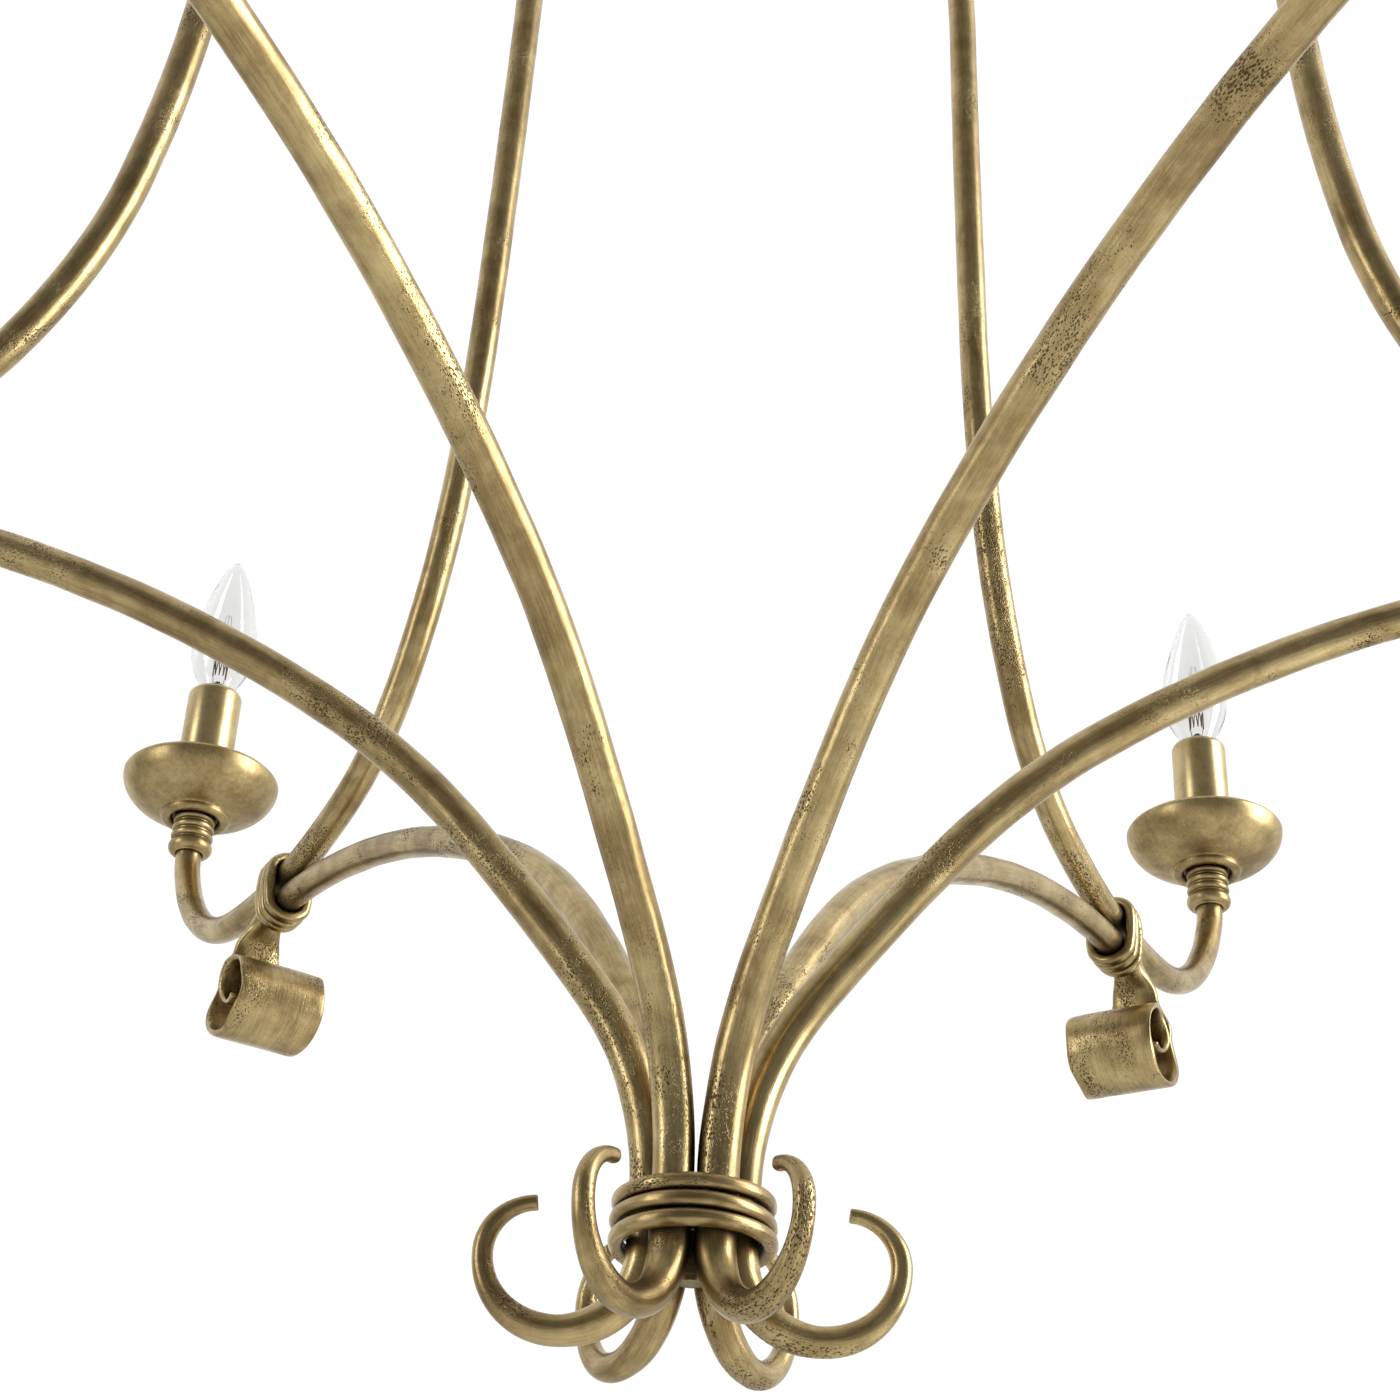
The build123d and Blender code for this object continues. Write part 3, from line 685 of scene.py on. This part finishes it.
def lamp_glass(index):
    outer, inner = glass_outline()
    corners, faces, grain = lathe(outer, 64, closed=False)
    more = lathe(inner, 64, closed=False)
    start = len(corners)
    corners += more[0]
    grain += more[2]
    faces += [tuple(start + corner for corner in reversed(face)) for face in more[1]]
    for step in range(64):
        after = (step + 1) % 64
        faces.append((step, start + step, start + after, after))
    name = "bulb_glass_" + str(index + 1)
    piece = make_object("blown_" + name, at_candle(corners, index), faces, grain)
    return dress(piece, "bulb_" + str(index + 1), name, GLASS)


def wire(points, radius, around=10):
    """Rings of a thin wire along 3-D points."""
    rings = []
    across = Vector((1.0, 0.23, 0.11)).normalized()
    count = len(points)
    for index, point in enumerate(points):
        way = (points[min(index + 1, count - 1)] - points[max(index - 1, 0)]).normalized()
        across = (across - way * across.dot(way)).normalized()
        up = way.cross(across)
        ring = []
        for side in range(around):
            angle = 2.0 * pi * side / around
            ring.append(point + (across * cos(angle) + up * sin(angle)) * radius)
        rings.append(ring)
    corners, faces = skin(rings)
    return corners, faces, [(0.0, 0.0, 0.0)] * len(corners)


def lamp_inside(index):
    """The glass stem, the support wires and the zigzag filament."""
    body = "bulb_" + str(index + 1)
    corners, faces, grain = lathe(eased(STEM_OUTLINE, 0.6), 32, closed=False)
    stem = make_object("stem_" + str(index + 1), at_candle(corners, index), faces, grain)
    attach(stem, body)
    stem.data.materials.append(FLARE)
    wires = []
    for side in (-1, 1):
        lead_line = [Vector((side * x, 0.0, z)) for x, z in smooth_curve(LEAD_WIRE, 6)]
        wires.append(wire(lead_line, LEAD_WIRE_R))
    for angle in SUPPORT_ANGLES:
        turn = Matrix.Rotation(radians(angle), 3, "Z")
        line = [turn @ Vector((x, 0.0, z)) for x, z in smooth_curve(SUPPORT_WIRE, 6)]
        wires.append(wire(line, SUPPORT_WIRE_R, 8))
    corners, faces, grain = join_parts(wires)
    spin = Matrix.Rotation(radians(index * SPIN_STEP + SPIN_START), 3, "Z")
    corners = [spin @ corner for corner in corners]
    supports = make_object("wires_" + str(index + 1), at_candle(corners, index), faces, grain)
    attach(supports, body)
    supports.data.materials.append(WIRE_METAL)
    coil = []
    for step in range(COIL_STEPS + 1):
        share = step / COIL_STEPS
        swing = COIL_ANGLES[0] + (COIL_ANGLES[1] - COIL_ANGLES[0]) * share
        hang = abs(sin(radians(share * COIL_WAVES * 180.0)))
        reach = COIL_R + 0.18 * sin(step * 1.9)
        level = COIL_Z + COIL_RISE * hang + 0.18 * cos(step * 1.9)
        coil.append(Vector((cos(radians(swing)) * reach, sin(radians(swing)) * reach, level)))
    corners, faces, grain = wire(coil, COIL_WIRE_R, 8)
    corners = [spin @ corner for corner in corners]
    filament = make_object("filament_" + str(index + 1), at_candle(corners, index), faces, grain)
    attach(filament, body)
    filament.data.materials.append(FILAMENT)


# ---------------------------------------------------------------- finishes

class Nodes:
    """Short calls to lay out one node material."""

    def __init__(self, name):
        self.material = bpy.data.materials.new(name)
        self.material.use_nodes = True
        self.tree = self.material.node_tree
        self.shader = self.tree.nodes["Principled BSDF"]

    def add(self, kind, **settings):
        node = self.tree.nodes.new(kind)
        for key, value in settings.items():
            setattr(node, key, value)
        return node

    def link(self, source, target):
        self.tree.links.new(source, target)

    def feed(self, socket, value):
        if isinstance(value, bpy.types.NodeSocket):
            self.link(value, socket)
        else:
            socket.default_value = value

    def math(self, operation, first, second=0.0, clamp=False):
        node = self.add("ShaderNodeMath", operation=operation, use_clamp=clamp)
        self.feed(node.inputs[0], first)
        self.feed(node.inputs[1], second)
        return node.outputs[0]

    def mix(self, share, first, second, blend="MIX"):
        node = self.add("ShaderNodeMix", data_type="RGBA", blend_type=blend, clamp_factor=True)
        self.feed(node.inputs["Factor"], share)
        self.feed(node.inputs[6], first)
        self.feed(node.inputs[7], second)
        return node.outputs[2]

    def scaled(self, vector, scale):
        node = self.add("ShaderNodeMapping")
        self.link(vector, node.inputs["Vector"])
        node.inputs["Scale"].default_value = scale
        return node.outputs["Vector"]

    def noise(self, vector, scale, detail=4.0, rough=0.55, distortion=0.0):
        node = self.add("ShaderNodeTexNoise")
        self.link(vector, node.inputs["Vector"])
        node.inputs["Scale"].default_value = scale
        node.inputs["Detail"].default_value = detail
        node.inputs["Roughness"].default_value = rough
        node.inputs["Distortion"].default_value = distortion
        return node.outputs["Fac"]

    def cells(self, vector, scale, feature="F1", randomness=1.0):
        node = self.add("ShaderNodeTexVoronoi", feature=feature)
        self.link(vector, node.inputs["Vector"])
        node.inputs["Scale"].default_value = scale
        node.inputs["Randomness"].default_value = randomness
        return node.outputs["Distance"]

    def span(self, value, low, high, to_low=0.0, to_high=1.0):
        node = self.add("ShaderNodeMapRange", clamp=True)
        self.feed(node.inputs["Value"], value)
        node.inputs["From Min"].default_value = low
        node.inputs["From Max"].default_value = high
        node.inputs["To Min"].default_value = to_low
        node.inputs["To Max"].default_value = to_high
        return node.outputs["Result"]

    def ramp(self, value, stops):
        node = self.add("ShaderNodeValToRGB")
        self.link(value, node.inputs["Fac"])
        elements = node.color_ramp.elements
        while len(elements) < len(stops):
            elements.new(0.5)
        for element, (place, colour) in zip(elements, stops):
            element.position = place
            element.color = (*colour, 1.0)
        return node.outputs["Color"]

    def bump(self, height, distance, strength=1.0, under=None):
        node = self.add("ShaderNodeBump")
        self.link(height, node.inputs["Height"])
        node.inputs["Distance"].default_value = distance
        node.inputs["Strength"].default_value = strength
        if under is not None:
            self.link(under, node.inputs["Normal"])
        return node.outputs["Normal"]

    def position(self):
        return self.add("ShaderNodeTexCoord").outputs["Object"]

    def grain(self):
        node = self.add("ShaderNodeAttribute", attribute_name="grain")
        return node.outputs["Vector"]

    def hollows(self, distance):
        """1 out in the open, falling to 0 deep between two pieces."""
        node = self.add("ShaderNodeAmbientOcclusion", samples=8)
        node.inputs["Distance"].default_value = distance
        return node.outputs["AO"]

    def edges(self):
        return self.add("ShaderNodeNewGeometry").outputs["Pointiness"]


def aged_brass(name, streaked, look):
    """Brass darkened by hand and rubbed back.

    streaked reads the piece's grain, so that the marks run along the bar;
    otherwise they lie evenly over the piece.
    """
    n = Nodes(name)
    spot = n.position()
    grain = n.grain() if streaked else n.scaled(spot, (1.0, 1.0, 0.5))

    clouds = n.noise(spot, 24.0, 5.0, 0.6, 0.3)
    patches = n.noise(spot, 85.0, 6.0, 0.65, 0.2)
    streaks = n.noise(grain, 520.0, 4.0, 0.6, 0.15)
    fine = n.noise(grain, 1700.0, 3.0, 0.7)
    tone = n.math("ADD", n.math("MULTIPLY", clouds, 0.36), n.math("MULTIPLY", patches, 0.30))
    tone = n.math("ADD", tone, n.math("MULTIPLY", streaks, look["streak"]))
    tone = n.math("ADD", tone, n.math("MULTIPLY", fine, 0.34 - look["streak"]))
    tone = n.span(tone, look["low"], look["high"])
    colour = n.ramp(tone, (
        (0.0, look["dark"]),
        (0.34, look["brown"]),
        (0.62, look["brass"]),
        (1.0, look["rubbed"]),
    ))

    # Small dark pits in clusters, drawn out a little along the bar
    near = n.scaled(grain, (1.0, 1.0, 9.0)) if streaked else spot
    cluster = n.noise(near, 44.0, 4.0, 0.62, 0.4)
    where = n.span(cluster, look["cluster"][0], look["cluster"][1])
    pits = n.cells(near, look["pit_scale"])
    pit = n.span(n.math("SUBTRACT", n.math("MULTIPLY", where, look["pit_size"]), pits), 0.0, 0.12)
    colour = n.mix(n.math("MULTIPLY", pit, 0.80), colour, (*look["pit"], 1.0))

    # Short crooked lines among the pits
    ridge = n.math("ABSOLUTE", n.math("SUBTRACT", n.noise(near, 300.0, 3.0, 0.6, 0.6), 0.5))
    line = n.math("MULTIPLY", n.span(ridge, 0.0, 0.014, 1.0, 0.0), where)
    colour = n.mix(n.math("MULTIPLY", line, look["line"]), colour, (*look["pit"], 1.0))

    # Specks, finer and thinly all over
    specks = n.noise(near, 2300.0, 2.0, 0.6)
    speck = n.math("MULTIPLY", n.span(specks, 0.60, 0.72), n.span(cluster, 0.38, 0.60))
    colour = n.mix(n.math("MULTIPLY", speck, look["speck"]), colour, (*look["pit"], 1.0))

    # Painted shade: near-black mixed in where nearby metal hems the surface in, in the hollows
    # and between pieces; bright metal on the rubbed edges
    open_sky = n.span(n.hollows(0.006), 0.25, 0.85)
    painted_shade = n.math("MULTIPLY", n.math("SUBTRACT", 1.0, open_sky), look["painted_shade"])
    colour = n.mix(painted_shade, colour, (*look["pit"], 1.0))
    worn = n.span(n.edges(), 0.53, 0.60)
    worn = n.math("MULTIPLY", worn, n.span(patches, 0.35, 0.6))
    colour = n.mix(n.math("MULTIPLY", worn, look["wear"]), colour, (*look["bright"], 1.0))

    rough = n.span(tone, 0.0, 1.0, look["rough"][1], look["rough"][0])
    rough = n.math("ADD", rough, n.math("MULTIPLY", n.math("SUBTRACT", fine, 0.5), 0.12))
    rough = n.math("ADD", rough, n.math("MULTIPLY", pit, 0.25))
    rough = n.math("ADD", rough, n.math("MULTIPLY", painted_shade, 0.15), clamp=True)

    relief = n.math("ADD", n.math("MULTIPLY", streaks, 0.22), n.math("MULTIPLY", fine, 0.30))
    relief = n.math("ADD", relief, n.math("MULTIPLY", patches, 0.5))
    relief = n.math("SUBTRACT", relief, n.math("MULTIPLY", pit, 0.9))
    relief = n.math("SUBTRACT", relief, n.math("MULTIPLY", line, 0.4))
    relief = n.math("SUBTRACT", relief, n.math("MULTIPLY", speck, 0.35))
    normal = n.bump(relief, look["relief"], look["bump"])

    n.link(colour, n.shader.inputs["Base Color"])
    n.shader.inputs["Metallic"].default_value = 1.0
    n.link(rough, n.shader.inputs["Roughness"])
    n.link(normal, n.shader.inputs["Normal"])
    return n.material


def plain_metal(name, colour, dark, rough, relief=0.00003):
    """Plated or turned metal with fine marks and a few duller patches."""
    n = Nodes(name)
    spot = n.position()
    marks = n.noise(n.scaled(spot, (1.0, 1.0, 6.0)), 900.0, 4.0, 0.6)
    patches = n.noise(spot, 90.0, 4.0, 0.6)
    tone = n.math("ADD", n.math("MULTIPLY", marks, 0.5), n.math("MULTIPLY", patches, 0.5))
    paint = n.ramp(n.span(tone, 0.32, 0.68), ((0.0, dark), (1.0, colour)))
    n.link(paint, n.shader.inputs["Base Color"])
    n.shader.inputs["Metallic"].default_value = 1.0
    n.link(n.span(tone, 0.3, 0.7, rough + 0.12, rough - 0.06), n.shader.inputs["Roughness"])
    n.link(n.bump(marks, relief, 0.6), n.shader.inputs["Normal"])
    return n.material


def moulded(name, colour, dark, rough):
    """Moulded plastic: a faint matt texture and slight changes of tone."""
    n = Nodes(name)
    spot = n.position()
    texture = n.noise(spot, 2600.0, 3.0, 0.6)
    tone = n.noise(spot, 120.0, 3.0, 0.5)
    n.link(n.ramp(tone, ((0.3, dark), (0.7, colour))), n.shader.inputs["Base Color"])
    n.link(n.span(texture, 0.3, 0.7, rough - 0.06, rough + 0.08), n.shader.inputs["Roughness"])
    n.link(n.bump(texture, 0.00003, 0.5), n.shader.inputs["Normal"])
    return n.material


def clear_glass(name, tint, rough):
    """Thin blown glass with a slight tint, soft waves and a little dust."""
    n = Nodes(name)
    spot = n.position()
    waves = n.noise(spot, 60.0, 2.0, 0.4)
    dust = n.noise(spot, 700.0, 4.0, 0.7)
    thin = tuple(min(1.0, c * THIN_GLASS_GAIN) for c in tint)
    n.link(n.ramp(waves, ((0.3, tint), (0.7, thin))), n.shader.inputs["Base Color"])
    n.link(n.span(dust, 0.5, 0.8, rough, rough + 0.10), n.shader.inputs["Roughness"])
    n.link(n.bump(waves, 0.00025, 0.5), n.shader.inputs["Normal"])
    n.shader.inputs["Transmission Weight"].default_value = 1.0
    n.shader.inputs["IOR"].default_value = GLASS_IOR
    return n.material


# ---------------------------------------------------------------- pieces

def dress(piece, body, node, finish):
    """The piece stands for a CAD node, moves with a body and takes a finish."""
    slot_name, material = finish
    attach(piece, body)
    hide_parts(node)
    piece.data.materials.append(material)
    return piece


def finish_node(node, finish):
    """A finish for a CAD node that is shown as it is."""
    slot_name, material = finish
    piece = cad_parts[node]
    piece.data.materials.clear()
    piece.data.materials.append(material)


BRASS_TONES = {
    "low": 0.36,
    "high": 0.64,
    "dark": (0.185, 0.126, 0.058),
    "brown": (0.305, 0.217, 0.098),
    "brass": (0.440, 0.334, 0.159),
    "rubbed": (0.590, 0.463, 0.236),
    "bright": (0.85, 0.72, 0.44),
    "pit": (0.040, 0.026, 0.013),
}
ROD_LOOK = {
    **BRASS_TONES,
    "streak": 0.13,
    "cluster": (0.46, 0.64),
    "pit_scale": 1500.0,
    "pit_size": 0.50,
    "line": 0.45,
    "speck": 0.70,
    # weight of the painted shade in the hollows and between pieces
    "painted_shade": 0.92,
    "wear": 0.5,
    "rough": (0.24, 0.36),
    "relief": 0.00016,
    "bump": 0.8,
}
QUIET_LOOK = {**ROD_LOOK, "cluster": (0.58, 0.78), "pit_size": 0.30, "line": 0.12, "speck": 0.20}
CUP_LOOK = {**QUIET_LOOK, "rough": (0.32, 0.42), "relief": 0.00009, "bump": 0.5}
SLEEVE_LOOK = {
    **QUIET_LOOK,
    "dark": (0.33, 0.235, 0.110),
    "brown": (0.46, 0.345, 0.170),
    "brass": (0.58, 0.455, 0.235),
    "rough": (0.28, 0.36),
    "relief": 0.00005,
    "bump": 0.4,
}

RODS = ("antique_brass", aged_brass("aged_brass_rods", True, ROD_LOOK))
CUPS = ("antique_brass", aged_brass("aged_brass_cups", False, CUP_LOOK))
SLEEVES = ("antique_brass", aged_brass("aged_brass_sleeves", False, SLEEVE_LOOK))
GEAR = ("antique_brass", aged_brass("aged_brass_gear", False, ROD_LOOK))
STEEL = (
    "dark_steel",
    plain_metal("dark_steel_look", (0.30, 0.22, 0.11), (0.09, 0.065, 0.035), 0.40),
)
ZINC = ("zinc_steel", plain_metal("zinc_look", (0.62, 0.62, 0.60), (0.38, 0.38, 0.37), 0.34))
CAP = ("cap_metal", plain_metal("cap_look", (0.74, 0.72, 0.68), (0.45, 0.43, 0.40), 0.26))
PLASTIC = (
    "holder_plastic",
    moulded("holder_look", (0.035, 0.032, 0.030), (0.020, 0.018, 0.017), 0.46),
)
JACKET = ("lead_jacket", moulded("jacket_look", (0.72, 0.68, 0.60), (0.60, 0.56, 0.48), 0.40))
GLASS = ("clear_glass", clear_glass("glass_look", (0.885, 0.885, 0.875), 0.02))
FLARE = clear_glass("stem_look", (0.90, 0.92, 0.91), 0.05)
WIRE_METAL = plain_metal("wire_look", (0.55, 0.53, 0.50), (0.30, 0.28, 0.26), 0.30)
FILAMENT = plain_metal("filament_look", (0.26, 0.10, 0.06), (0.12, 0.045, 0.03), 0.55)

lifted_cup = [(r, z + NECK_H) for r, z in cup_outline()]
for arm_index in range(ARM_COUNT):
    make_arm(arm_index)
    make_stay(arm_index)
    make_arm_tie(arm_index)
    turned_piece("turned", neck_outline(), arm_index, "neck", finish=CUPS)
    turned_piece("spun", lifted_cup, arm_index, "cup", finish=CUPS)
    turned_piece("drawn", sleeve_outline(), arm_index, "sleeve", finish=SLEEVES)
    lamp_glass(arm_index)
    lamp_inside(arm_index)
    finish_node("bulb_cap_" + str(arm_index + 1), CAP)
make_bottom_tie()
for node_name in ("hub", "chain_link_1", "chain_link_2", "chain_link_3", "canopy_loop", "canopy"):
    finish_node(node_name, GEAR)
finish_node("core_stud", STEEL)
finish_node("crossbar", ZINC)
finish_node("canopy_fixings", GEAR)
finish_node("lampholders", PLASTIC)
finish_node("leads", JACKET)


# ---------------------------------------------------------------- studio

def place_camera():
    """The eye is low and close, looking up past the bottom tie."""
    turn = Matrix.Rotation(radians(CAMERA_TURN), 3, "Z")
    pitch, roll = radians(CAMERA_PITCH), radians(CAMERA_ROLL)
    ahead = Vector((0.0, cos(pitch), sin(pitch)))
    level = Vector((1.0, 0.0, 0.0))
    upright = Vector((0.0, -sin(pitch), cos(pitch)))
    right = turn @ (level * cos(roll) + upright * sin(roll))
    above = turn @ (upright * cos(roll) - level * sin(roll))
    back = -(turn @ ahead)
    spot = turn @ (Vector(CAMERA_SPOT) * MM) + Vector((0.0, 0.0, DROP * MM))
    data = bpy.data.cameras.new("camera")
    data.lens = CAMERA_LENS
    data.sensor_width = CAMERA_SENSOR
    data.clip_start = 0.01
    camera = bpy.data.objects.new("camera", data)
    camera.matrix_world = Matrix((
        (right.x, above.x, back.x, spot.x),
        (right.y, above.y, back.y, spot.y),
        (right.z, above.z, back.z, spot.z),
        (0.0, 0.0, 0.0, 1.0),
    ))
    bpy.context.scene.collection.objects.link(camera)
    bpy.context.scene.camera = camera


def soft_box(name, spot, target, size, watts, tint=(1.0, 1.0, 1.0)):
    data = bpy.data.lights.new(name, "AREA")
    data.shape = "RECTANGLE"
    data.size, data.size_y = size
    data.energy = watts
    data.color = tint
    light = bpy.data.objects.new(name, data)
    light.location = spot
    light.rotation_euler = (Vector(target) - Vector(spot)).to_track_quat("-Z", "Y").to_euler()
    light.visible_camera = False
    bpy.context.scene.collection.objects.link(light)


def set_world():
    """A white studio: bright ahead and above, dimmer behind the eye and low."""
    world = bpy.data.worlds.new("studio")
    world.use_nodes = True
    tree = world.node_tree
    coord = tree.nodes.new("ShaderNodeTexCoord")
    split = tree.nodes.new("ShaderNodeSeparateXYZ")
    tree.links.new(coord.outputs["Generated"], split.inputs["Vector"])
    blend = tree.nodes.new("ShaderNodeVectorMath")
    blend.operation = "DOT_PRODUCT"
    tree.links.new(coord.outputs["Generated"], blend.inputs[0])
    blend.inputs[1].default_value = WORLD_BRIGHT_WAY
    ramp = tree.nodes.new("ShaderNodeMapRange")
    ramp.interpolation_type = "SMOOTHSTEP"
    ramp.inputs["From Min"].default_value = WORLD_SPAN[0]
    ramp.inputs["From Max"].default_value = WORLD_SPAN[1]
    ramp.inputs["To Min"].default_value = WORLD_LEVELS[0]
    ramp.inputs["To Max"].default_value = WORLD_LEVELS[1]
    tree.links.new(blend.outputs["Value"], ramp.inputs["Value"])
    background = tree.nodes["Background"]
    background.inputs["Color"].default_value = (1.0, 1.0, 1.0, 1.0)
    tree.links.new(ramp.outputs["Result"], background.inputs["Strength"])
    bpy.context.scene.world = world


def lay_floor():
    reach = FLOOR_REACH / MM
    level = FLOOR_Z / MM
    sides = ((-1, -1), (1, -1), (1, 1), (-1, 1))
    corners = [(x * reach, y * reach, level) for x, y in sides]
    floor = make_object("floor", corners, [(0, 1, 2, 3)])
    n = Nodes("pale_floor")
    speckle = n.noise(n.position(), 9.0, 5.0, 0.6)
    paint = n.ramp(speckle, ((0.3, FLOOR_DARK), (0.7, FLOOR_PALE)))
    n.link(paint, n.shader.inputs["Base Color"])
    n.shader.inputs["Roughness"].default_value = FLOOR_ROUGH
    floor.data.materials.append(n.material)


CAMERA_LENS = 63.9
CAMERA_SENSOR = 36.0
CAMERA_PITCH = 31.17
CAMERA_ROLL = 2.94
CAMERA_TURN = 0.61
CAMERA_SPOT = (-6.0, -710.0, -262.0)
WORLD_BRIGHT_WAY = (0.0, 0.80, 0.60)
WORLD_SPAN = (-0.25, 0.58)
WORLD_LEVELS = (0.20, 1.05)
FLOOR_Z = -2.3
FLOOR_REACH = 9.0
FLOOR_DARK = (0.70, 0.70, 0.69)
FLOOR_PALE = (0.76, 0.76, 0.75)
FLOOR_ROUGH = 0.75

bpy.context.scene.view_settings.view_transform = "Standard"
place_camera()
set_world()
lay_floor()
soft_box("key", (2.7, -0.3, -0.2), (0.0, 0.0, -0.75), (1.3, 2.6), 100.0)
soft_box("fill", (-2.8, -1.4, -0.5), (0.0, 0.0, -0.95), (0.9, 2.0), 24.0)
